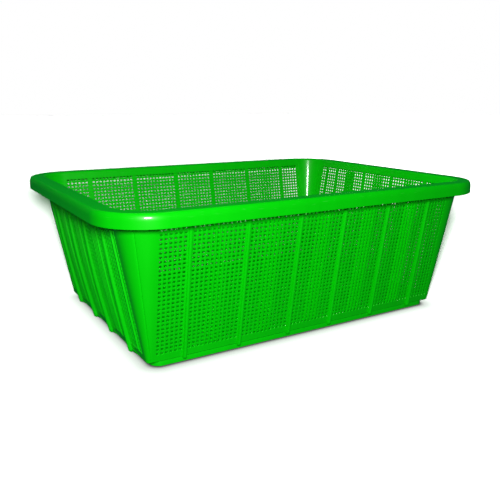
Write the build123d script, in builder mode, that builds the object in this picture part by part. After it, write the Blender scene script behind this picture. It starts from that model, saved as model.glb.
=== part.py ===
"""Perforated harvest crate.

The crate is one open-topped plastic moulding. It is drawn as the features that make it up: a
turned-down rim, four cone-shaped corners, four perforated walls with upright ribs, a foot ring
and a drained floor. A wall is two crossing layers of strands, uprights outside and level strands
inside, and each hole is the place where a gap of one layer crosses a gap of the other.

Sizes are millimetres. +X runs along the long side and +Z is up. The origin is the middle of the
footprint, on the surface that the crate stands on.
"""
import os
from math import ceil, cos, radians, sin, sqrt, tan

from build123d import *

# Overall sizes, over the rim
rim_length = 600
rim_width = 450
crate_height = 205

# Walls and corners: one draft angle all round, so that empty crates nest
draft_angle = 9.9
rim_overhang = 21.3
base_corner_radius = 4.5

# Rim: a flat deck round the mouth and a lip that turns down outside it
rim_corner_radius = 70
rim_thickness = 2.4
lip_depth = 18
lip_shoulder = 3
lip_shoulder_land = 1.5

# Wall layers: upright strands outside, level strands inside
upright_thickness = 1.3
level_thickness = 1.1
hole_width = 3.7
hole_height = 2.7
corner_land = 0.3

# Hole grid: columns on each side of a wall's middle column, and rows from the foot to the rim
long_wall_columns = 38
end_wall_columns = 26
field_margin = 3.6
rows = 31
first_row_height = 18.9
top_row_depth = 19.5

# Ribs and proud strands, both once in every bay of this many columns
bay_columns = 13
first_rib_column = 6
proud_strands = 4
strand_rise = 2
rib_width = 5
rib_rise = 2.4
rib_toe_rise = 4.6
rib_toe_height = 4.5
rib_flank_draft = 12

# Foot ring and floor: a ledge round the floor carries the walls, on a plinth that is set in
plinth_height = 7.5
plinth_width = 5
plinth_side_set_in = 2
plinth_end_set_in = 8
plinth_corner_radius = 14
ledge_width = 4
ledge_edge = 1
floor_layer = 1.3
floor_spread = 2

wall_thickness = upright_thickness + level_thickness
deck_underside = crate_height - rim_thickness
floor_thickness = 2 * floor_layer
wall_foot = plinth_height + floor_thickness
wall_height = deck_underside - wall_foot
top_row_height = crate_height - top_row_depth
row_pitch = (top_row_height - first_row_height) / (rows - 1)
row_heights = [first_row_height + row_pitch * row for row in range(rows)]
field_height = top_row_height - first_row_height + hole_height
field_middle = (first_row_height + top_row_height) / 2


def draw_in(height):
    """How far the draft has drawn a wall in, from the top of the rim down to a height."""
    return (crate_height - height) * tan(radians(draft_angle))


def half_length(height):
    """Outer face of the end walls, from the middle of the crate."""
    return rim_length / 2 - rim_overhang - draw_in(height)


def half_width(height):
    """Outer face of the long walls, from the middle of the crate."""
    return rim_width / 2 - rim_overhang - draw_in(height)


def corner_radius(height):
    """Outer radius of the cone-shaped corners, which share their centres at every height."""
    return base_corner_radius + draw_in(0) - draw_in(height)


class Wall:
    """One wall: which way it runs and faces, how it leans, and where its holes and ribs are."""

    def __init__(self, name, along, outward, half_at, flat, columns):
        self.name = name
        self.along = Vector(along)
        self.outward = Vector(outward)
        self.half_at = half_at
        self.flat = flat
        self.face = Plane((0, 0, 0), x_dir=along, z_dir=outward)
        lean = radians(draft_angle)
        face_normal = self.outward * cos(lean) - Vector(0, 0, sin(lean))
        self.leaning_face = Plane(self.outward * half_at(0), x_dir=along, z_dir=face_normal)
        self.pitch = (flat - field_margin) / (columns + 0.5)
        self.strand_width = self.pitch - hole_width
        self.field_width = 2 * self.pitch * columns + hole_width
        right_ribs = list(range(first_rib_column, columns, bay_columns))
        ribs = [-column for column in reversed(right_ribs)] + right_ribs
        self.rib_places = [self.pitch * column for column in ribs]
        gaps = [column for column in range(-columns, columns + 1) if column not in ribs]
        self.gap_places = [self.pitch * column for column in gaps]
        bays = ceil(columns / bay_columns)
        groups = [bay_columns * bay for bay in range(-bays, bays + 1)]
        steps = [step - (proud_strands - 1) / 2 for step in range(proud_strands)]
        strands = [group + step for group in groups for step in steps]
        self.proud_places = [self.pitch * strand for strand in strands if abs(strand) < columns + 1]

    def section(self, place=0):
        """Upright plane across the wall: first axis outwards, second axis up."""
        return Plane(self.along * place, x_dir=self.outward, z_dir=self.along * -1)

    def strip(self, outer, inner):
        """Corners of a leaning strip of wall, between two depths behind its outer face."""
        low, high = self.half_at(wall_foot), self.half_at(deck_underside)
        return [
            (low - outer, wall_foot),
            (low - inner, wall_foot),
            (high - inner, deck_underside),
            (high - outer, deck_underside),
        ]


flat_length = half_length(0) - base_corner_radius - corner_land
flat_width = half_width(0) - base_corner_radius - corner_land
walls = [
    Wall("front", (1, 0, 0), (0, -1, 0), half_width, flat_length, long_wall_columns),
    Wall("back", (-1, 0, 0), (0, 1, 0), half_width, flat_length, long_wall_columns),
    Wall("left", (0, -1, 0), (-1, 0, 0), half_length, flat_width, end_wall_columns),
    Wall("right", (0, 1, 0), (1, 0, 0), half_length, flat_width, end_wall_columns),
]

os.makedirs("parts", exist_ok=True)


def write(builder, name):
    """Label a finished piece and write it as its own file."""
    builder.part.label = name
    export_step(builder.part, f"parts/{name}.step")


def wall_uprights(wall):
    """Outer layer of a wall: upright strands, a few in each bay standing proud of the rest."""
    with BuildPart() as proud:
        with BuildSketch(wall.section()):
            Polygon(*wall.strip(-strand_rise, 0), align=None)
        extrude(amount=wall.flat, both=True)
        with BuildSketch(wall.face):
            with Locations(*[(place, field_middle) for place in wall.proud_places]):
                Rectangle(wall.strand_width, field_height)
        extrude(amount=rim_length, mode=Mode.INTERSECT)

    with BuildPart() as layer:
        with BuildSketch(wall.section()):
            Polygon(*wall.strip(0, upright_thickness), align=None)
        extrude(amount=wall.flat, both=True)
        with BuildSketch(wall.face):
            with Locations(*[(place, field_middle) for place in wall.gap_places]):
                Rectangle(hole_width, field_height)
        extrude(amount=rim_length, mode=Mode.SUBTRACT)
        add(proud.part)
    write(layer, f"{wall.name}_wall_uprights")


def wall_level_strands(wall):
    """Inner layer of a wall: level strands from corner to corner."""
    with BuildPart() as layer:
        with BuildSketch(wall.section()):
            Polygon(*wall.strip(upright_thickness, wall_thickness), align=None)
        extrude(amount=wall.flat, both=True)
        with BuildSketch(wall.face):
            with Locations(*[(0, height) for height in row_heights]):
                Rectangle(wall.field_width, hole_height)
        extrude(amount=rim_length, mode=Mode.SUBTRACT)
    write(layer, f"{wall.name}_wall_level_strands")


def wall_rib(wall, number, place):
    """Rib on the outside of a wall, from the rim's deck to a round toe that hangs past the ledge."""
    ledge_face = wall.half_at(wall_foot)
    wall_head = wall.half_at(deck_underside)
    toe_centre = rib_toe_height + rib_toe_rise
    toe_middle = rib_toe_rise / sqrt(2)
    with BuildPart() as rib:
        with BuildSketch(wall.section(place)):
            with BuildLine():
                ThreePointArc(
                    (ledge_face, rib_toe_height),
                    (ledge_face + toe_middle, toe_centre - toe_middle),
                    (ledge_face + rib_toe_rise, toe_centre),
                )
                Polyline(
                    (ledge_face + rib_toe_rise, toe_centre),
                    (wall_head + rib_rise, deck_underside),
                    (wall_head, deck_underside),
                    (ledge_face, wall_foot),
                    (ledge_face, rib_toe_height),
                )
            make_face()
        extrude(amount=rib_width / 2, both=True)
        flanks = rib.faces().filter_by(Axis((0, 0, 0), wall.along))
        draft(flanks, neutral_plane=wall.leaning_face, angle=rib_flank_draft)
    write(rib, f"{wall.name}_rib_{number}")


for wall in walls:
    wall_uprights(wall)
    wall_level_strands(wall)
    for index, rib_place in enumerate(wall.rib_places):
        wall_rib(wall, index + 1, rib_place)

# Corner posts: cones that are tight at the foot and wide at the mouth, joining the flat walls
with BuildPart() as corner_posts:
    for inset, mode in ((0, Mode.ADD), (wall_thickness, Mode.SUBTRACT)):
        with BuildSketch(Plane.XY.offset(wall_foot)):
            RectangleRounded(
                2 * (half_length(wall_foot) - inset),
                2 * (half_width(wall_foot) - inset),
                corner_radius(wall_foot) - inset,
            )
        extrude(amount=wall_height, taper=-draft_angle, mode=mode)
    with BuildSketch(Plane.XY.offset(wall_foot)):
        with GridLocations(2 * flat_length + rim_length, 2 * flat_width + rim_width, 2, 2):
            Rectangle(rim_length, rim_width)
    extrude(amount=wall_height, mode=Mode.INTERSECT)
write(corner_posts, "corner_posts")

# Rim lip: a sloped shoulder and the skirt that hangs from it
deck_edge = lip_shoulder + lip_shoulder_land
deck_length = rim_length - 2 * deck_edge
deck_width = rim_width - 2 * deck_edge
deck_radius = rim_corner_radius - deck_edge
with BuildPart() as rim_lip:
    with BuildSketch(Plane.XY.offset(crate_height - lip_depth)):
        RectangleRounded(rim_length, rim_width, rim_corner_radius)
    extrude(amount=lip_depth)
    chamfer(rim_lip.faces().sort_by(Axis.Z)[-1].edges(), length=lip_shoulder)
    with BuildSketch(Plane.XY.offset(crate_height - lip_depth)):
        RectangleRounded(
            rim_length - 2 * rim_thickness,
            rim_width - 2 * rim_thickness,
            rim_corner_radius - rim_thickness,
        )
    extrude(amount=lip_depth - rim_thickness, mode=Mode.SUBTRACT)
    chamfer(rim_lip.edges(Select.LAST).group_by(Axis.Z)[-1], length=lip_shoulder / 2)
    with BuildSketch(Plane.XY.offset(crate_height)):
        RectangleRounded(deck_length, deck_width, deck_radius)
    extrude(amount=-lip_depth, mode=Mode.SUBTRACT)
write(rim_lip, "rim_lip")

# Rim deck: the flat ring on top of the walls, open at the mouth
mouth_length = 2 * (half_length(deck_underside) - wall_thickness)
mouth_width = 2 * (half_width(deck_underside) - wall_thickness)
mouth_radius = corner_radius(deck_underside) - wall_thickness
with BuildPart() as rim_deck:
    with BuildSketch(Plane.XY.offset(deck_underside)):
        RectangleRounded(deck_length, deck_width, deck_radius)
        RectangleRounded(mouth_length, mouth_width, mouth_radius, mode=Mode.SUBTRACT)
    extrude(amount=rim_thickness)
write(rim_deck, "rim_deck")

# Foot ring: the ledge under the walls, and the plinth under the ledge that the crate stands on
ledge_length = 2 * half_length(wall_foot)
ledge_breadth = 2 * half_width(wall_foot)
floor_length = ledge_length - 2 * ledge_width
floor_width = ledge_breadth - 2 * ledge_width
plinth_length = ledge_length - 2 * plinth_end_set_in
plinth_breadth = ledge_breadth - 2 * plinth_side_set_in
with BuildPart() as foot_ring:
    with BuildSketch(Plane.XY.offset(plinth_height)):
        RectangleRounded(ledge_length, ledge_breadth, corner_radius(wall_foot))
    extrude(amount=floor_thickness)
    chamfer(foot_ring.faces().sort_by(Axis.Z)[0].edges(), length=ledge_edge)
    with BuildSketch(Plane.XY.offset(plinth_height)):
        Rectangle(floor_length, floor_width)
    extrude(amount=floor_thickness, mode=Mode.SUBTRACT)
    with BuildSketch():
        RectangleRounded(plinth_length, plinth_breadth, plinth_corner_radius)
        RectangleRounded(
            plinth_length - 2 * plinth_width,
            plinth_breadth - 2 * plinth_width,
            plinth_corner_radius - plinth_width,
            mode=Mode.SUBTRACT,
        )
    extrude(amount=plinth_height)
write(foot_ring, "foot_ring")

# Floor: two crossing layers inside the ledge, level with its top
cross_pitch = floor_spread * walls[0].pitch
long_pitch = floor_spread * walls[-1].pitch
gap_length = walls[0].field_width
gap_width = walls[-1].field_width
with BuildPart() as floor_long_strands:
    with BuildSketch(Plane.XY.offset(plinth_height)):
        Rectangle(floor_length, floor_width)
        with GridLocations(0, long_pitch, 1, end_wall_columns):
            Rectangle(gap_length, hole_width, mode=Mode.SUBTRACT)
    extrude(amount=floor_layer)
write(floor_long_strands, "floor_long_strands")

with BuildPart() as floor_cross_strands:
    with BuildSketch(Plane.XY.offset(plinth_height + floor_layer)):
        Rectangle(floor_length, floor_width)
        with GridLocations(cross_pitch, 0, long_wall_columns, 1):
            Rectangle(hole_width, gap_width, mode=Mode.SUBTRACT)
    extrude(amount=floor_layer)
write(floor_cross_strands, "floor_cross_strands")
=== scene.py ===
# %% [markdown]
# A perforated harvest crate, dressed for a studio picture.
#
# The real crate is one injection-moulded shell of bright green plastic: a turned-down rim, four
# cone-shaped corners, four walls full of small oblong holes, upright ribs, a foot ring and a
# drained floor. The packed solids fix where everything is. Each cell below lays a finer surface
# over some of those solids, in the same frame, and hides them.

# %% Load the fixed frame
from math import cos, pi, radians, sin, tan

import bpy
import numpy as np
from mathutils import Matrix, Vector


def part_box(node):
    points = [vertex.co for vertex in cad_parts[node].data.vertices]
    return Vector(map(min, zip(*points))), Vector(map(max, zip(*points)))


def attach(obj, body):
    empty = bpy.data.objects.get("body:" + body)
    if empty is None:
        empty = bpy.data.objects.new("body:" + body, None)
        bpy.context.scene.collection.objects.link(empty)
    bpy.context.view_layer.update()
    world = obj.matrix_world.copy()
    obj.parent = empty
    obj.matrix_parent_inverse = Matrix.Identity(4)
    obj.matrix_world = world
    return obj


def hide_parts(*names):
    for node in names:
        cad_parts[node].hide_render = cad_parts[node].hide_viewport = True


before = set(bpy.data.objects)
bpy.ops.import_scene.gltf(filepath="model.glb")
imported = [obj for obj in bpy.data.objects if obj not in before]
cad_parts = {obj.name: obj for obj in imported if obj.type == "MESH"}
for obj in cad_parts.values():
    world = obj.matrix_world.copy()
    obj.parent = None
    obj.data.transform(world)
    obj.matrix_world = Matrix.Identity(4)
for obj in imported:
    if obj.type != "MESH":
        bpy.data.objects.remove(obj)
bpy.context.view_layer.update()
print("solids in the frame:", len(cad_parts))

# %% [markdown]
# Sizes first. The big ones are read from the boxes of the solids, so that the looks can't drift
# away from them. A mould needs draft, so the walls lean out on the way up, and because every wall
# leans by the same angle, each corner is part of a cone whose centre line stands upright.
# Everything is worked out in millimetres and turned into metres when a mesh is written.

# %% Sizes of the moulding
MILLIMETRE = 0.001


def node_box(node):
    """Lowest and highest corner of a solid, in millimetres."""
    low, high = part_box(node)
    return np.array(low) / MILLIMETRE, np.array(high) / MILLIMETRE


lip_low, lip_high = node_box("rim_lip")
foot_high = node_box("foot_ring")[1]

rim_half = lip_high[:2]
rim_top = lip_high[2]
skirt_foot = lip_low[2]
deck_underside = node_box("rim_deck")[0][2]
foot_half = foot_high[:2]
foot_top = foot_high[2]

draft = tan(radians(9.9))
rim_overhang = 21.3
base_corner_radius = 4.5
rim_corner_radius = 70.0
wall_thickness = 2.4
corner_land = 0.3


def wall_half(axis, height):
    """Outer wall face from the middle: rim half size, less overhang, less draft times drop."""
    return rim_half[axis] - rim_overhang - (rim_top - height) * draft


def corner_radius(height):
    """Outer radius of a corner cone: base radius plus draft times height."""
    return base_corner_radius + draft * height


print("rim", 2 * rim_half, "top", rim_top, "foot", 2 * foot_half)

# %% [markdown]
# A few helpers turn arrays of points into pieces. A plate has an outer and an inner grid of points,
# and a mask that says which cells of the grid are open. Solid cells are skinned on both faces,
# and each edge between a solid cell and an open one gets a strip from face to face, so that every
# hole is lined and every rim of the plate is closed. Modelling thousands of holes with booleans
# would be slow and leave bad triangles; here they are simply cells that are left out.

# %% Grids of points into pieces
sharp_angle = radians(50)


def plate(outer, inner, opening=None):
    """Points and quads of a plate: both skins of the solid cells, and a strip at each open edge."""
    rows, columns = outer.shape[:2]
    count = rows * columns
    number = np.arange(count).reshape(rows, columns)
    solid = np.ones((rows - 1, columns - 1), bool) if opening is None else ~opening
    cells = np.stack([number[:-1, :-1], number[:-1, 1:], number[1:, 1:], number[1:, :-1]], axis=-1)
    skin = cells[solid]
    edged = np.pad(solid, 1)

    def strip(first, second):
        return np.stack([first, second, second + count, first + count], axis=-1)

    under, over = edged[:-1, 1:-1], edged[1:, 1:-1]
    before, after = edged[1:-1, :-1], edged[1:-1, 1:]
    start, end = number[:, :-1], number[:, 1:]
    foot, head = number[:-1], number[1:]
    top, bottom = under & ~over, over & ~under
    right, left = before & ~after, after & ~before
    faces = [
        skin,
        skin[:, ::-1] + count,
        strip(start[top], end[top]),
        strip(end[bottom], start[bottom]),
        strip(head[right], foot[right]),
        strip(foot[left], head[left]),
    ]
    points = np.concatenate([outer.reshape(-1, 3), inner.reshape(-1, 3)])
    return points, np.concatenate(faces)


def loop_skin(points):
    """Points and quads of a skin whose grid closes on itself both ways, like a ring's surface."""
    rows, columns = points.shape[:2]
    number = np.arange(rows * columns).reshape(rows, columns)
    on = np.roll(number, -1, axis=1)
    up = np.roll(number, -1, axis=0)
    both = np.roll(on, -1, axis=0)
    faces = np.stack([number, on, both, up], axis=-1)
    return points.reshape(-1, 3), faces.reshape(-1, 4)


def join(parts):
    """Several points-and-quads pairs as one pair, each one's numbers moved past the last one's."""
    sizes = [len(points) for points, faces in parts]
    starts = np.cumsum([0] + sizes[:-1])
    points = np.concatenate([points for points, faces in parts])
    faces = np.concatenate([faces + start for (points, faces), start in zip(parts, starts)])
    return points, faces


def make_piece(name, shape, finish, replaced):
    """Write points and quads to a mesh, shade it, give it its body and hide the solids it replaces."""
    points, faces = shape
    mesh = bpy.data.meshes.new(name)
    mesh.vertices.add(len(points))
    mesh.vertices.foreach_set("co", (points * MILLIMETRE).ravel())
    mesh.loops.add(faces.size)
    mesh.loops.foreach_set("vertex_index", faces.ravel())
    mesh.polygons.add(len(faces))
    mesh.polygons.foreach_set("loop_start", np.arange(0, faces.size, 4))
    mesh.update(calc_edges=True)
    mesh.polygons.foreach_set("use_smooth", np.ones(len(faces), bool))
    mesh.set_sharp_from_angle(angle=sharp_angle)
    mesh.materials.append(finish)
    thing = bpy.data.objects.new(name, mesh)
    bpy.context.scene.collection.objects.link(thing)
    weigh = thing.modifiers.new("even_faces", "WEIGHTED_NORMAL")
    weigh.keep_sharp = True
    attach(thing, "root")
    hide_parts(*replaced)
    print(name, "has", len(faces), "quads")


# %% [markdown]
# Next, a way to write finishes. Nodes could be laid and linked one by one, but shader maths reads
# best as ordinary expressions. So one small class wraps a socket and turns each sign between two
# sockets into a Math node. Its node method lays any other node.

# %% A socket that can be added and multiplied
class Wire:
    """An output socket in a node tree, with signs that lay Math nodes."""

    def __init__(self, tree, socket=None):
        self.tree = tree
        self.socket = socket

    def node(self, kind, settings=None, sockets=None, out=0):
        """Lay a node: its settings first, then values or wires on its sockets; returns an output."""
        laid = self.tree.nodes.new(kind)
        for key, value in (settings or {}).items():
            if key == "stops":
                ramp = laid.color_ramp.elements
                while len(ramp) < len(value):
                    ramp.new(1.0)
                for element, (place, colour) in zip(ramp, value):
                    element.position = place
                    element.color = colour
            else:
                setattr(laid, key, value)
        for key, value in (sockets or {}).items():
            if isinstance(value, Wire):
                self.tree.links.new(value.socket, laid.inputs[key])
            else:
                laid.inputs[key].default_value = value
        return Wire(self.tree, laid.outputs[out] if len(laid.outputs) else None)

    def math(self, operation, first, second=0.0):
        """One Math node on one or two values or wires."""
        return self.node("ShaderNodeMath", {"operation": operation}, {0: first, 1: second})

    def __add__(self, other):
        return self.math("ADD", self, other)

    def __radd__(self, other):
        return self.math("ADD", other, self)

    def __sub__(self, other):
        return self.math("SUBTRACT", self, other)

    def __rsub__(self, other):
        return self.math("SUBTRACT", other, self)

    def __mul__(self, other):
        return self.math("MULTIPLY", self, other)

    def __rmul__(self, other):
        return self.math("MULTIPLY", other, self)

    def __abs__(self):
        return self.math("ABSOLUTE", self)

    def above(self, other):
        """The larger of this and another value."""
        return self.math("MAXIMUM", self, other)

    def between(self, low, high):
        """0 at low, 1 at high, and a smooth step between them."""
        values = {"Value": self, "From Min": low, "From Max": high}
        return self.node("ShaderNodeMapRange", {"interpolation_type": "SMOOTHSTEP"}, values)

    def blend(self, first, second):
        """Colour that goes from the first to the second as this value goes from 0 to 1."""
        values = {0: self, 6: first, 7: second}
        return self.node("ShaderNodeMix", {"data_type": "RGBA"}, values, out=2)

    def choose(self, first, second):
        """The first shader where this value is 0, the second where it is 1, a mix in between."""
        return self.node("ShaderNodeMixShader", sockets={0: self, 1: first, 2: second})


def new_tree(owner):
    """Empty the node tree of a material, a lamp or a world, and return a wire to lay nodes in it."""
    owner.use_nodes = True
    owner.node_tree.nodes.clear()
    return Wire(owner.node_tree)


print("a wire can", [name for name in vars(Wire) if not name.startswith("_")])

# %% [markdown]
# The crate is polypropylene, coloured right through, with the shine of a polished mould. A new one
# is clean, but its surface isn't even. The colour drifts a little where the melt flowed, the mould's
# fine grain shows as a slight orange peel, broad sink marks bend the reflections, and the edges that
# get handled and stood on carry faint pale rubs. A thin coat layer gives the sharp highlight of a
# polished skin over the softer sheen below it. All of it reads Object coordinates, and because every
# piece sits at the origin, the marks run on from piece to piece as they would on one moulding.

# %% Green moulded plastic
deep_green = (0.0006, 0.63, 0.0010, 1)
bright_green = (0.0010, 0.73, 0.0016, 1)
rubbed_green = (0.08, 0.68, 0.09, 1)
rub_drop = 5.0
rub_reach = 6.0
stood_from, stood_to = 0.5, 4.0


def moulded_plastic(name, shine):
    """Plastic coloured right through: flow drift in the colour, grain and sink marks in the bump."""
    finish = bpy.data.materials.new(name)
    tree = new_tree(finish)
    place = tree.node("ShaderNodeTexCoord", out="Object")

    def noise(scale, detail, stretch=(1.0, 1.0, 1.0)):
        stretched = tree.node("ShaderNodeMapping", sockets={"Vector": place, "Scale": stretch})
        values = {"Vector": stretched, "Scale": scale, "Detail": detail, "Roughness": 0.5}
        return tree.node("ShaderNodeTexNoise", sockets=values)

    drift = noise(7.0, 3.0, (1.0, 1.0, 0.45))
    streak = noise(60.0, 2.0, (1.0, 1.0, 0.06))
    grain = noise(1100.0, 1.0)
    sink = noise(22.0, 1.0)
    scratch = noise(90.0, 4.0, (1.0, 1.0, 9.0)).between(0.62, 0.74)

    height = tree.node("ShaderNodeSeparateXYZ", sockets={0: place}, out="Z")
    from_shoulder = abs(height - (rim_top - rub_drop) * MILLIMETRE)
    handled = 1 - from_shoulder.between(0.0, rub_reach * MILLIMETRE)
    stood = 1 - height.between(stood_from * MILLIMETRE, stood_to * MILLIMETRE)
    rub = scratch * handled.above(stood)

    tone = drift * 0.65 + streak * 0.35
    stops = [(0.3, deep_green), (0.7, bright_green)]
    green = tree.node("ShaderNodeValToRGB", {"stops": stops}, {0: tone})
    colour = (rub * 0.35).blend(green, rubbed_green)

    relief = grain * 0.12 + sink * 0.88
    bump = {"Height": relief, "Strength": 0.14, "Distance": 0.0006}
    normal = tree.node("ShaderNodeBump", sockets=bump)
    rough = shine + streak * 0.05 + rub * 0.25
    values = {
        "Base Color": colour,
        "Roughness": rough,
        "IOR": 1.49,
        "Specular IOR Level": 0.3,
        "Coat Weight": 0.5,
        "Coat Roughness": 0.1,
        "Normal": normal,
    }
    shader = tree.node("ShaderNodeBsdfPrincipled", sockets=values)
    tree.node("ShaderNodeOutputMaterial", sockets={"Surface": shader})
    print("finish", name, "has", len(finish.node_tree.nodes), "nodes")
    return finish


wall_finish = moulded_plastic("green_wall_plastic", 0.34)
rim_finish = moulded_plastic("green_rim_plastic", 0.30)

# %% [markdown]
# The four walls differ only in which way they face, how many columns of holes they have and a few
# small sizes, so one class describes them all. Holes, ribs and proud strands share one pitch of
# columns, counted from the middle: a rib takes the place of a column at the edge of each bay, and
# four strands in mid-bay stand proud. The end walls belly out slightly, and their holes are
# narrower and their level strands sit deeper. The top row of holes lies behind the turned-down
# rim, and shows from inside as dark ticks.

# %% One side of the crate
field_margin = 3.6
bay_columns = 13
first_rib_column = 6
proud_strands = np.array([-1.5, -0.5, 0.5, 1.5])
crown_fullness = 0.8
row_count = 32
lowest_row = 18.9
top_row_drop = 13.947
row_heights = np.linspace(lowest_row, rim_top - top_row_drop, row_count)


class Side:
    """One wall: which way it runs and faces, and where its columns, ribs and proud strands are."""

    def __init__(self, name, along, outward, axis, columns, crown, half_gap, sunk):
        self.name = name
        self.along = np.array(along, float)
        self.outward = np.array(outward, float)
        self.axis = axis
        self.crown = crown
        self.half_gap = half_gap
        self.sunk = sunk
        self.flat = wall_half(1 - axis, 0) - base_corner_radius - corner_land
        self.pitch = (self.flat - field_margin) / (columns + 0.5)
        numbers = np.arange(-columns, columns + 1)
        ribbed = (np.abs(numbers) - first_rib_column) % bay_columns == 0
        ribbed &= np.abs(numbers) >= first_rib_column
        self.rib_places = self.pitch * numbers[ribbed]
        self.hole_places = self.pitch * numbers[~ribbed]
        last_bay = columns // bay_columns + 1
        bays = np.arange(-last_bay, last_bay + 1) * bay_columns
        strands = (bays[:, None] + proud_strands).ravel()
        self.proud_places = self.pitch * strands[np.abs(strands) < columns - 1]

    def swell(self, run, height):
        """How far the wall bellies out: nothing at its edges, the crown in the middle."""
        across = np.clip(1 - (run / self.flat) ** 2, 0, 1)
        rise = np.clip((height - foot_top) / (deck_underside - foot_top), 0, 1)
        return self.crown * across * np.sin(np.pi * rise) ** crown_fullness

    def points(self, run, height, offset):
        """Points along the wall, at a height, and an offset outwards from its leaning face."""
        run, height, offset = np.broadcast_arrays(run, height, offset)
        out = wall_half(self.axis, height) + self.swell(run, height) + offset
        upward = np.array([0.0, 0.0, 1.0])
        return run[..., None] * self.along + out[..., None] * self.outward + height[..., None] * upward


long_wall = {"axis": 1, "columns": 38, "crown": 0.0, "half_gap": 1.7, "sunk": 0.4}
end_wall = {"axis": 0, "columns": 26, "crown": 4.2, "half_gap": 1.4, "sunk": 0.6}
sides = [
    Side("front", (1, 0, 0), (0, -1, 0), **long_wall),
    Side("back", (-1, 0, 0), (0, 1, 0), **long_wall),
    Side("left", (0, -1, 0), (-1, 0, 0), **end_wall),
    Side("right", (0, 1, 0), (1, 0, 0), **end_wall),
]
print("columns of holes:", [len(side.hole_places) for side in sides], "rows:", len(row_heights))

# %% [markdown]
# A wall is a lattice: upright strands outside, level strands inside, in a field that is a little
# thinner than the plain border round it. Strands could be modelled one by one, but then their
# crossings would have to be joined. Here the grid has a line at each edge of each hole and another a
# little further out, and the offset of every crossing from the wall's face is worked out from the
# two lines that meet there. That gives a sunk level strand, a chamfer round every hole and the
# strands that stand proud, with a few dozen quads for each hole.

# %% Perforated walls
hole_half_height = 1.2
chamfer_width = 0.45
chamfer_depth = 0.3
strand_rise = 1.5
strand_crown = 0.3
strand_fade = 5.0
inner_step = 0.3
field_thickness = 2.0
slack = 0.01


def lattice_lines(centres, half, low, high, extra=()):
    """Lines of a grid: both edges of each gap, a chamfer outside each, the ends, and extra lines.

    Also returns which lines are gap edges and which spaces between lines are gaps.
    """
    steps = np.array([-half - chamfer_width, -half, half, half + chamfer_width])
    lines = (np.asarray(centres)[:, None] + steps).ravel()
    edge = np.tile([False, True, True, False], len(centres))
    others = np.concatenate([[low, high], extra])
    lines = np.concatenate([lines, others])
    edge = np.concatenate([edge, np.zeros(len(others), bool)])
    order = np.argsort(lines)
    lines, edge = lines[order], edge[order]
    middle = (lines[:-1] + lines[1:]) / 2
    nearest = np.abs(middle[:, None] - np.asarray(centres)).min(axis=1)
    return lines, edge, nearest < half


def perforated_wall(side):
    """Wall skins: offset is proud strands, less sunk level strands, less a chamfer at each hole."""
    strand_half = side.pitch / 2 - side.half_gap - chamfer_width
    run, run_edge, run_gap = lattice_lines(
        side.hole_places, side.half_gap, -side.flat, side.flat, side.proud_places
    )
    height, height_edge, height_gap = lattice_lines(
        row_heights, hole_half_height, foot_top, deck_underside
    )
    run, height = run[None, :], height[:, None]
    corner = run_edge[None, :] & height_edge[:, None]
    field_foot = row_heights[0] - hole_half_height
    field_head = row_heights[-1] + hole_half_height
    inside = (height > field_foot - slack) & (height < field_head + slack)
    beside = np.abs(run) < np.abs(side.hole_places).max() + side.half_gap + slack

    from_proud = np.abs(run[..., None] - side.proud_places).min(axis=-1)
    proud = np.where(from_proud < strand_half + slack, strand_rise, 0)
    proud = proud + np.where(from_proud < slack, strand_crown, 0)
    from_foot = np.clip((height - field_foot) / strand_fade, 0, 1)
    from_head = np.clip((field_head - height) / strand_fade, 0, 1)
    fade = np.sqrt(from_foot * from_head)
    outer = proud * fade - side.sunk * (run_edge & inside) - chamfer_depth * corner

    thin = (wall_thickness - field_thickness) * (inside & beside)
    step = inner_step * (height_edge[:, None] & beside)
    inner = thin + step + chamfer_depth * corner - wall_thickness
    opening = height_gap[:, None] & run_gap[None, :]
    return plate(side.points(run, height, outer), side.points(run, height, inner), opening)


for side in sides:
    solids = [f"{side.name}_wall_uprights", f"{side.name}_wall_level_strands"]
    make_piece(f"{side.name}_wall", perforated_wall(side), wall_finish, solids)

# %% [markdown]
# Ribs stiffen the walls. Each one is a rounded bead that grows from the rim down to a round toe that
# hangs past the foot's ledge. It could be a swept curve, but its width and its toe would then need
# shaping by hand. At any height its section is the same bell, as tall as the rib stands proud there,
# so the whole rib is one function of the way across and the height. On the end walls a low web runs
# out from each toe under the ledge, and gives the crate's lower edge its waves.

# %% Ribs
rib_half_width = 2.6
rib_rise = 2.4
rib_toe_rise = 4.6
rib_toe_height = 4.5
rib_toe_width = 0.6
rib_seat_depth = 0.4
rib_back_depth = 0.6
bell_flatness = 3.2
bell_fullness = 0.62
web_half_length = 28.0
web_top_gap = 0.6
web_clearance = 0.2
web_proud = 0.5
web_rounding = 1.2
web_depth = 3.0


def rib_shape(side, place):
    """Rib skin: the face, plus the rise at this height times a bell across, rounded under the toe."""
    ring_face = foot_half[side.axis]
    toe_centre = rib_toe_height + rib_toe_rise
    toe = toe_centre - rib_toe_rise * np.cos(np.linspace(0, np.pi / 2, 12))
    shaft = np.linspace(toe_centre, deck_underside, 40)[1:]
    height = np.concatenate([toe, shaft])[:, None]
    face = wall_half(side.axis, height)
    head = wall_half(side.axis, deck_underside) + rib_rise
    share = np.clip((height - toe_centre) / (deck_underside - toe_centre), 0, 1)
    line = (ring_face + rib_toe_rise) * (1 - share) + head * share
    under = np.clip((toe_centre - height) / rib_toe_rise, 0, 1)
    rounding = np.sqrt(1 - under**2)
    crest = np.where(height < toe_centre, ring_face + rib_toe_rise * rounding, line)
    seat = np.where(height < foot_top, ring_face, face)
    across = np.linspace(-1, 1, 15)[None, :]
    bell = (1 - np.abs(across) ** bell_flatness) ** bell_fullness
    width = rib_half_width * (rib_toe_width + (1 - rib_toe_width) * rounding)
    lift = seat - face - rib_seat_depth + (crest - seat + rib_seat_depth) * bell
    outer = side.points(place + across * width, height, lift)
    inner = side.points(place + across * width, height, seat - face - rib_back_depth)
    return plate(outer, inner)


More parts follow.
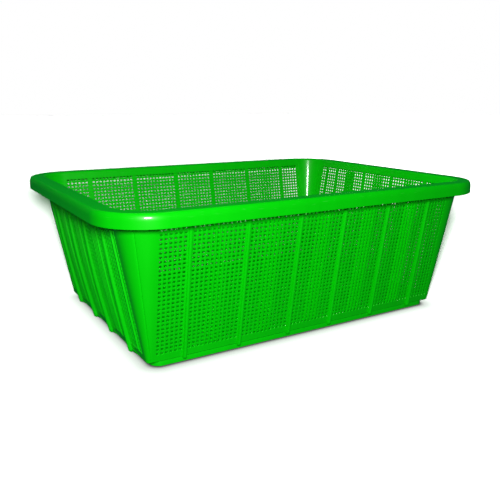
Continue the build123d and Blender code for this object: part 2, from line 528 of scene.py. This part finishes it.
def toe_web(side, place):
    """Low web either side of a toe: its lower edge falls from the ledge to the toe in half a wave."""
    top = foot_top - web_top_gap
    share = np.linspace(0, 1, 7)[:, None]
    across = np.linspace(-1, 1, 29)[None, :]
    lowest, highest = rib_toe_height + web_clearance, top - web_clearance
    low = lowest + (highest - lowest) * (0.5 - 0.5 * np.cos(np.pi * across))
    height = top + (low - top) * share
    level = foot_half[side.axis] - wall_half(side.axis, height)
    run = place + across * web_half_length
    outer = side.points(run, height, level + web_proud - web_rounding * share**4)
    inner = side.points(run, height, level - web_depth)
    return plate(outer[::-1], inner[::-1])


for side in sides:
    for number, place in enumerate(side.rib_places, 1):
        node = f"{side.name}_rib_{number}"
        shape = rib_shape(side, place)
        if side.axis == 0:
            shape = join([shape, toe_web(side, place)])
        make_piece(f"{node}_bead", shape, wall_finish, [node])

# %% [markdown]
# The corners are quarter cones, tight at the foot and wide at the mouth, with no holes. The mould
# parts near their diagonals, where its slides meet, and leaves a fine groove that the light picks
# out. The grid follows that line, so the groove costs three columns of points and no boolean.

# %% Corners
parting_offset = 2.9
groove_half_width = 1.0
groove_depth = 0.8


def corner_shape(sign_x, sign_y):
    """Quarter cone: centre plus radius times direction, less a shallow V along the parting line."""
    height = np.linspace(foot_top, deck_underside, 24)[:, None]
    radius = corner_radius(height)
    line = np.pi / 4 + parting_offset / radius
    half = groove_half_width / radius
    share = np.linspace(0, 1, 14)[None, :]
    before = (line - half) * share
    groove = line + half * np.array([[-0.5, 0.0, 0.5]])
    after = line + half + (np.pi / 2 - line - half) * share
    turn = np.concatenate([before[:, :1], before, groove, after, after[:, -1:]], axis=1)
    land = np.zeros(turn.shape)
    land[:, [0, -1]] = corner_land
    sunk = groove_depth * np.clip(1 - np.abs(turn - line) / half, 0, 1)
    centre = np.array([wall_half(0, 0), wall_half(1, 0)]) - base_corner_radius

    def skin(depth):
        x = centre[0] + (radius - depth) * np.cos(turn) - land * np.sin(turn)
        y = centre[1] + (radius - depth) * np.sin(turn) - land * np.cos(turn)
        return np.stack([sign_x * x, sign_y * y, height + 0 * turn], axis=-1)

    outer, inner = skin(sunk), skin(wall_thickness)
    if sign_x * sign_y < 0:
        outer, inner = outer[:, ::-1], inner[:, ::-1]
    return plate(outer, inner)


quarters = [corner_shape(x, y) for x in (1, -1) for y in (1, -1)]
make_piece("corner_cones", join(quarters), wall_finish, ["corner_posts"])

# %% [markdown]
# The rim is turned down all round, so that it can be gripped and doesn't flex. A bevelled curve
# would keep one corner radius, but here the outer edge has wider corners than the mouth. So a
# profile is carried round a rounded rectangle, and each point of the profile has its own half
# length, half width and corner radius, all of them shares between the outer edge and the mouth.

# %% Rim
shoulder_reach = 5.0
shoulder_drop = 9.0
shoulder_set_in = 0.2
rim_wall = 2.4
mouth_round = 1.8
mouth_land = 0.4
under_round = 3.0
skirt_edge = np.array([(0.7, 0.0), (0.15, 0.25), (0.0, 0.9)])
skirt_back_edge = np.array([(rim_wall, 0.4), (rim_wall - 0.5, 0.0)])


def ring_points(half_x, half_y, radius, height, steps=14):
    """Rounded rectangles, one row each: corner centre plus radius times direction, corner by corner."""
    turn = np.radians(np.linspace(0, 90, steps))
    turns = np.concatenate([turn, turn + np.pi / 2, turn + np.pi, turn + 1.5 * np.pi])[None, :]
    side_x = np.repeat([1, -1, -1, 1], steps)[None, :]
    side_y = np.repeat([1, 1, -1, -1], steps)[None, :]
    half_x, half_y, radius, height = np.broadcast_arrays(half_x, half_y, radius, height)
    half_x, half_y, radius, height = np.stack([half_x, half_y, radius, height])[..., None]
    x = side_x * (half_x - radius) + radius * np.cos(turns)
    y = side_y * (half_y - radius) + radius * np.sin(turns)
    return np.stack([x, y, height + 0 * turns], axis=-1)


def arc(centre_in, centre_up, reach, drop, start, end, steps):
    """Points of an elliptic profile arc, inwards from the rim's edge and upwards."""
    turn = np.radians(np.linspace(start, end, steps))
    return np.stack([centre_in - reach * np.cos(turn), centre_up + drop * np.sin(turn)], axis=-1)


mouth_half = np.array([wall_half(0, deck_underside), wall_half(1, deck_underside)]) - wall_thickness
mouth_radius = corner_radius(deck_underside) - wall_thickness
rim_depth = rim_half[0] - mouth_half[0]
shoulder_in = shoulder_reach + shoulder_set_in
mouth_in = rim_depth - mouth_round - mouth_land
profile = np.concatenate([
    skirt_edge + (0.0, skirt_foot),
    arc(shoulder_in, rim_top - shoulder_drop, shoulder_reach, shoulder_drop, 0, 90, 13),
    arc(mouth_in, rim_top - mouth_round, mouth_round, mouth_round, 90, 172, 6),
    [(rim_depth, deck_underside)],
    arc(rim_wall + under_round, deck_underside - under_round, under_round, under_round, 90, 0, 6),
    skirt_back_edge + (0.0, skirt_foot),
])
share = profile[:, 0] / rim_depth
rim_grid = ring_points(
    rim_half[0] - profile[:, 0],
    rim_half[1] - profile[:, 0],
    rim_corner_radius + (mouth_radius - rim_corner_radius) * share,
    profile[:, 1],
    steps=25,
)
make_piece("rim", loop_skin(rim_grid), rim_finish, ["rim_lip", "rim_deck"])

# %% [markdown]
# The walls stand on a ledge with a rounded lower edge, and the ledge stands on a plinth that is set
# in, further at the ends than along the sides. Two boxes with bevels would do for a distant view.
# Each is a profile carried round a rounded rectangle instead, because the rim's helpers do just that
# and the edges come out round.

# %% Foot ring
floor_underside = node_box("floor_long_strands")[0][2]
ledge_width = 4.0
ledge_round = 2.0
ledge_inner_corner = 0.02
plinth_width = 5.0
plinth_set_in = np.array([8.0, 2.0])
plinth_corner_radius = 14.0
plinth_lap = 0.1
plinth_edge = np.array([(1.0, 0.0), (0.3, 0.25), (0.0, 0.9)])
plinth_neck = np.array([(0.0, -1.1), (0.8, -0.2), (0.8, plinth_lap), (plinth_width, plinth_lap)])

ledge_profile = np.concatenate([
    [(ledge_width, floor_underside)],
    arc(ledge_round, floor_underside + ledge_round, ledge_round, ledge_round, -90, 0, 7),
    [(0.0, foot_top), (ledge_width, foot_top)],
])
inward = ledge_profile[:, 0] / ledge_width
ledge_grid = ring_points(
    foot_half[0] - ledge_profile[:, 0],
    foot_half[1] - ledge_profile[:, 0],
    corner_radius(foot_top) * (1 - (1 - ledge_inner_corner) * inward),
    ledge_profile[:, 1],
)
plinth_profile = np.concatenate([
    plinth_edge,
    plinth_neck + (0.0, floor_underside),
    [(plinth_width, 0.0)],
])
plinth_grid = ring_points(
    foot_half[0] - plinth_set_in[0] - plinth_profile[:, 0],
    foot_half[1] - plinth_set_in[1] - plinth_profile[:, 0],
    plinth_corner_radius - plinth_profile[:, 0],
    plinth_profile[:, 1],
)
foot_skins = join([loop_skin(ledge_grid), loop_skin(plinth_grid)])
make_piece("foot_band", foot_skins, wall_finish, ["foot_ring"])

# %% [markdown]
# Inside the ledge lies the floor, which lets juice and wash water drain. It is the same kind of
# lattice as the walls, laid flat with its holes twice as far apart, so the same grid lines make it.

# %% Drained floor
floor_high = node_box("floor_cross_strands")[1]
floor_half_gap = 1.75
floor_sunk = 0.4
floor_spacing = 2
floor_gaps = (38, 26)


def drained_floor():
    """Floor skins: level, less sunk cross strands above and long strands below, less a chamfer."""
    half = floor_high[:2]
    spread = floor_spacing * np.array([sides[0].pitch, sides[-1].pitch])
    gaps_x, gaps_y = [
        (np.arange(count) - (count - 1) / 2) * step for count, step in zip(floor_gaps, spread)
    ]
    x, x_edge, x_gap = lattice_lines(gaps_x, floor_half_gap, -half[0], half[0])
    y, y_edge, y_gap = lattice_lines(gaps_y, floor_half_gap, -half[1], half[1])
    corner = x_edge[None, :] & y_edge[:, None]
    top = floor_high[2] - floor_sunk * y_edge[:, None] - chamfer_depth * corner
    base = floor_underside + floor_sunk * x_edge[None, :] + chamfer_depth * corner
    flat_x, flat_y = np.broadcast_arrays(x[None, :], y[:, None])
    upper = np.stack([flat_x, flat_y, top + 0 * flat_x], axis=-1)
    lower = np.stack([flat_x, flat_y, base + 0 * flat_x], axis=-1)
    return plate(upper, lower, y_gap[:, None] & x_gap[None, :])


floor_solids = ["floor_long_strands", "floor_cross_strands"]
make_piece("drained_floor", drained_floor(), wall_finish, floor_solids)

# %% [markdown]
# The stage is a pale floor without a visible edge. Paper that is lit by one lamp gets darker with
# distance, and a photographer burns it out to an even white. Here the floor gets a lamp of its own,
# close over the camera, that doesn't fall off, and the paper gets paler with distance as fast as
# that light gets more slanting. So the floor is an even white for the camera, apart from the shadow
# that the crate really casts, into which a faint green glow is painted. Beyond the right end painted
# white light covers that shadow, so that white shows through the holes there. Close round the plinth
# the paper carries a painted shade, darkest where the plinth touches it. Bounced light and the gloss
# see the floor as dim, so it adds little light to the crate, and from below the floor is clear.

# %% Pale floor
floor_reach = 12.0
floor_drop = 0.0004
floor_lamp_place = (-0.485, -0.805, 0.352)
paper_per_metre = 0.04
# A faint green glow painted into the crate's cast shadow on the floor: painted light, not a lamp.
painted_shadow_glow = (0.035, 0.15, 0.045, 1)
white = (1.0, 1.0, 1.0, 1.0)
bounce_level = 0.05
in_gloss = (0.004, 0.13, 0.03, 1)
# Past the right end, painted white light covers the crate's cast shadow on the floor.
painted_light_turn = radians(35.0)
painted_light_soft = 0.10
painted_light_from, painted_light_to = 1.75, 2.15
# Levels of a painted shade on the paper, by distance from the plinth's edge: darkest where it touches.
painted_contact_shade_levels = [(0.0, 0.03), (0.006, 0.55), (0.02, 0.86), (0.06, 0.955), (0.2, 0.99), (0.4, 1.0)]


def pale_floor():
    """Flat square just under the crate: every mix of the lowest and highest x and y, in metres."""
    ends = [-floor_reach, floor_reach]
    x, y = np.meshgrid(ends, ends)
    points = np.stack([x, y, np.full(x.shape, -floor_drop)], axis=-1).reshape(-1, 3)
    mesh = bpy.data.meshes.new("studio_floor")
    mesh.from_pydata(points.tolist(), [], [(0, 1, 3, 2)])
    thing = bpy.data.objects.new("studio_floor", mesh)
    bpy.context.scene.collection.objects.link(thing)
    return thing


def pale_finish():
    """Dim card for light and gloss; for the camera, white paper with a painted shade round the foot, a
    painted green glow in the cast shadow and painted light over that shadow past the right end.
    """
    finish = bpy.data.materials.new("pale_card")
    tree = new_tree(finish)
    place = tree.node("ShaderNodeTexCoord", out="Object")
    x = tree.node("ShaderNodeSeparateXYZ", sockets={0: place}, out="X")
    y = tree.node("ShaderNodeSeparateXYZ", sockets={0: place}, out="Y")

    straight = (foot_half - plinth_set_in - plinth_corner_radius) * MILLIMETRE
    past_x = (abs(x) - straight[0]).above(0.0)
    past_y = (abs(y) - straight[1]).above(0.0)
    away = tree.math("SQRT", past_x * past_x + past_y * past_y) - plinth_corner_radius * MILLIMETRE
    stops = [(distance, (level, level, level, 1)) for distance, level in painted_contact_shade_levels]
    lift = tree.node("ShaderNodeValToRGB", {"stops": stops}, {0: away})

    across, along = x - floor_lamp_place[0], y - floor_lamp_place[1]
    reach = tree.math("SQRT", across * across + along * along + floor_lamp_place[2] ** 2)
    painted_light_side = (across * cos(painted_light_turn) - along * sin(painted_light_turn)).between(-painted_light_soft, painted_light_soft)
    # Where this mask is 1 the emission turns white: painted light laid over the real shadow.
    painted_clearing_light = painted_light_side * reach.between(painted_light_from, painted_light_to)
    matt = {
        "Base Color": reach * paper_per_metre,
        "Roughness": 1.0,
        "Specular IOR Level": 0.0,
        "Emission Color": painted_clearing_light.blend(painted_shadow_glow, white),
        "Emission Strength": 1.0,
    }
    paper = tree.node("ShaderNodeBsdfPrincipled", sockets=matt)
    card = tree.node("ShaderNodeEmission", sockets={"Color": white, "Strength": bounce_level})
    sheen = tree.node("ShaderNodeEmission", sockets={"Color": in_gloss, "Strength": 1.0})
    clear = tree.node("ShaderNodeBsdfTransparent")

    camera_ray = tree.node("ShaderNodeLightPath", out="Is Camera Ray")
    through_ray = tree.node("ShaderNodeLightPath", out="Is Transmission Ray")
    glossy_ray = tree.node("ShaderNodeLightPath", out="Is Glossy Ray")
    from_below = tree.node("ShaderNodeNewGeometry", out="Backfacing")
    # Painted shade: close to the plinth the camera sees the dim card instead of the white paper.
    seen = (camera_ray + through_ray) * lift
    above = glossy_ray.choose(seen.choose(card, paper), sheen)
    tree.node("ShaderNodeOutputMaterial", sockets={"Surface": from_below.choose(above, clear)})
    return finish


studio_floor = pale_floor()
studio_floor.data.materials.append(pale_finish())
print("floor reaches", floor_reach, "m each way")

# %% [markdown]
# The floor's own lamp. A lamp usually lights all it sees, and would spoil the light on the crate.
# Light linking keeps this one to the floor, while the crate still stands in its way and casts a
# shadow. Its strength is worked out so that the paper comes out a little past white: the paper's
# share per metre times the lamp's height, with the lamp's power spread over the whole sphere.

# %% A lamp for the floor alone
past_white = 1.12
floor_lamp_radius = 0.03

floor_light = bpy.data.lights.new("lamp_on_floor", "POINT")
floor_light.energy = past_white * 4 * pi * pi / (paper_per_metre * floor_lamp_place[2])
floor_light.shadow_soft_size = floor_lamp_radius
steady = new_tree(floor_light)
strength = steady.node("ShaderNodeLightFalloff", sockets={"Strength": 1.0}, out="Constant")
even = steady.node("ShaderNodeEmission", sockets={"Strength": strength})
steady.node("ShaderNodeOutputLight", sockets={"Surface": even})
floor_lamp = bpy.data.objects.new("lamp_on_floor", floor_light)
floor_lamp.location = floor_lamp_place
floor_lamp.visible_camera = False
floor_lamp.visible_glossy = False
bpy.context.scene.collection.objects.link(floor_lamp)
lit_floor = bpy.data.collections.new("lit_floor")
lit_floor.objects.link(studio_floor)
floor_lamp.light_linking.receiver_collection = lit_floor
print("floor lamp", round(floor_light.energy), "W on the floor alone")

# %% [markdown]
# The room. To the camera, and through anything clear, the world is plain white. A white world would
# also flood the crate with light and wash its colour out, so as a light it is dim, and the gloss
# sees it as a dim green.

# %% White surroundings
ambient = 0.05

world = bpy.data.worlds.new("studio_world")
bpy.context.scene.world = world
surround = new_tree(world)
camera_ray = surround.node("ShaderNodeLightPath", out="Is Camera Ray")
glossy_ray = surround.node("ShaderNodeLightPath", out="Is Glossy Ray")
through_ray = surround.node("ShaderNodeLightPath", out="Is Transmission Ray")
level = (camera_ray + through_ray + glossy_ray) * (1 - ambient) + ambient
tint = glossy_ray.blend(white, in_gloss)
backdrop = surround.node("ShaderNodeBackground", sockets={"Color": tint, "Strength": level})
surround.node("ShaderNodeOutputWorld", sockets={"Surface": backdrop})
print("ambient level", ambient)

# %% [markdown]
# The camera stands where the photographer stood, worked out from the crate's own straight edges.
# One soft lamp hangs just over the camera, so the near corner is brightest and the shadows hide
# behind what casts them. Three weak lamps, one above and two behind, keep the rim and the far sides
# readable. They are too wide to show in the gloss without looking like windows, so they don't.

# %% Camera and lamps
focal_pixels = 590.8
image_pixels = 500
centre_pixel = (258.0, 256.7)
sensor_width = 36.0
camera_place = Vector((-0.4813, -0.8082, 0.3216))
yaw, pitch, roll = radians(31.78), radians(14.78), radians(0.30)
near_corner = (-0.05, -0.1, 0.10)
crate_middle = (0.0, 0.0, 0.1)

camera_data = bpy.data.cameras.new("studio_camera")
camera_data.sensor_fit = "HORIZONTAL"
camera_data.sensor_width = sensor_width
camera_data.lens = sensor_width * focal_pixels / image_pixels
camera_data.shift_x = (image_pixels / 2 - centre_pixel[0]) / image_pixels
camera_data.shift_y = (centre_pixel[1] - image_pixels / 2) / image_pixels
camera = bpy.data.objects.new("studio_camera", camera_data)
turn = Matrix.Rotation(-yaw, 4, "Z") @ Matrix.Rotation(radians(90) - pitch, 4, "X")
camera.matrix_world = Matrix.Translation(camera_place) @ turn @ Matrix.Rotation(roll, 4, "Z")
bpy.context.scene.collection.objects.link(camera)
bpy.context.scene.camera = camera


def soft_lamp(name, place, target, size, power):
    """Square lamp at a place, facing a target."""
    data = bpy.data.lights.new(name, "AREA")
    data.size = size
    data.energy = power
    lamp = bpy.data.objects.new(name, data)
    aim = (Vector(target) - Vector(place)).to_track_quat("-Z", "Y").to_matrix().to_4x4()
    lamp.matrix_world = Matrix.Translation(Vector(place)) @ aim
    lamp.visible_camera = False
    bpy.context.scene.collection.objects.link(lamp)
    return lamp


soft_lamp("lamp_by_camera", (-0.50, -0.86, 0.425), near_corner, 0.14, 7.4)
weak_lamps = [
    ("lamp_above", (0.0, 0.2, 1.65), 1.0, 6.0),
    ("lamp_back_right", (1.2, 1.7, 0.6), 1.2, 8.0),
    ("lamp_back_left", (-0.6, 2.2, 0.6), 1.2, 8.0),
]
for name, place, size, power in weak_lamps:
    weak_lamp = soft_lamp(name, place, crate_middle, size, power)
    weak_lamp.visible_glossy = False
bpy.context.scene.view_settings.view_transform = "Standard"
print("camera at", tuple(camera_place), "lens", camera_data.lens)

# %% [markdown]
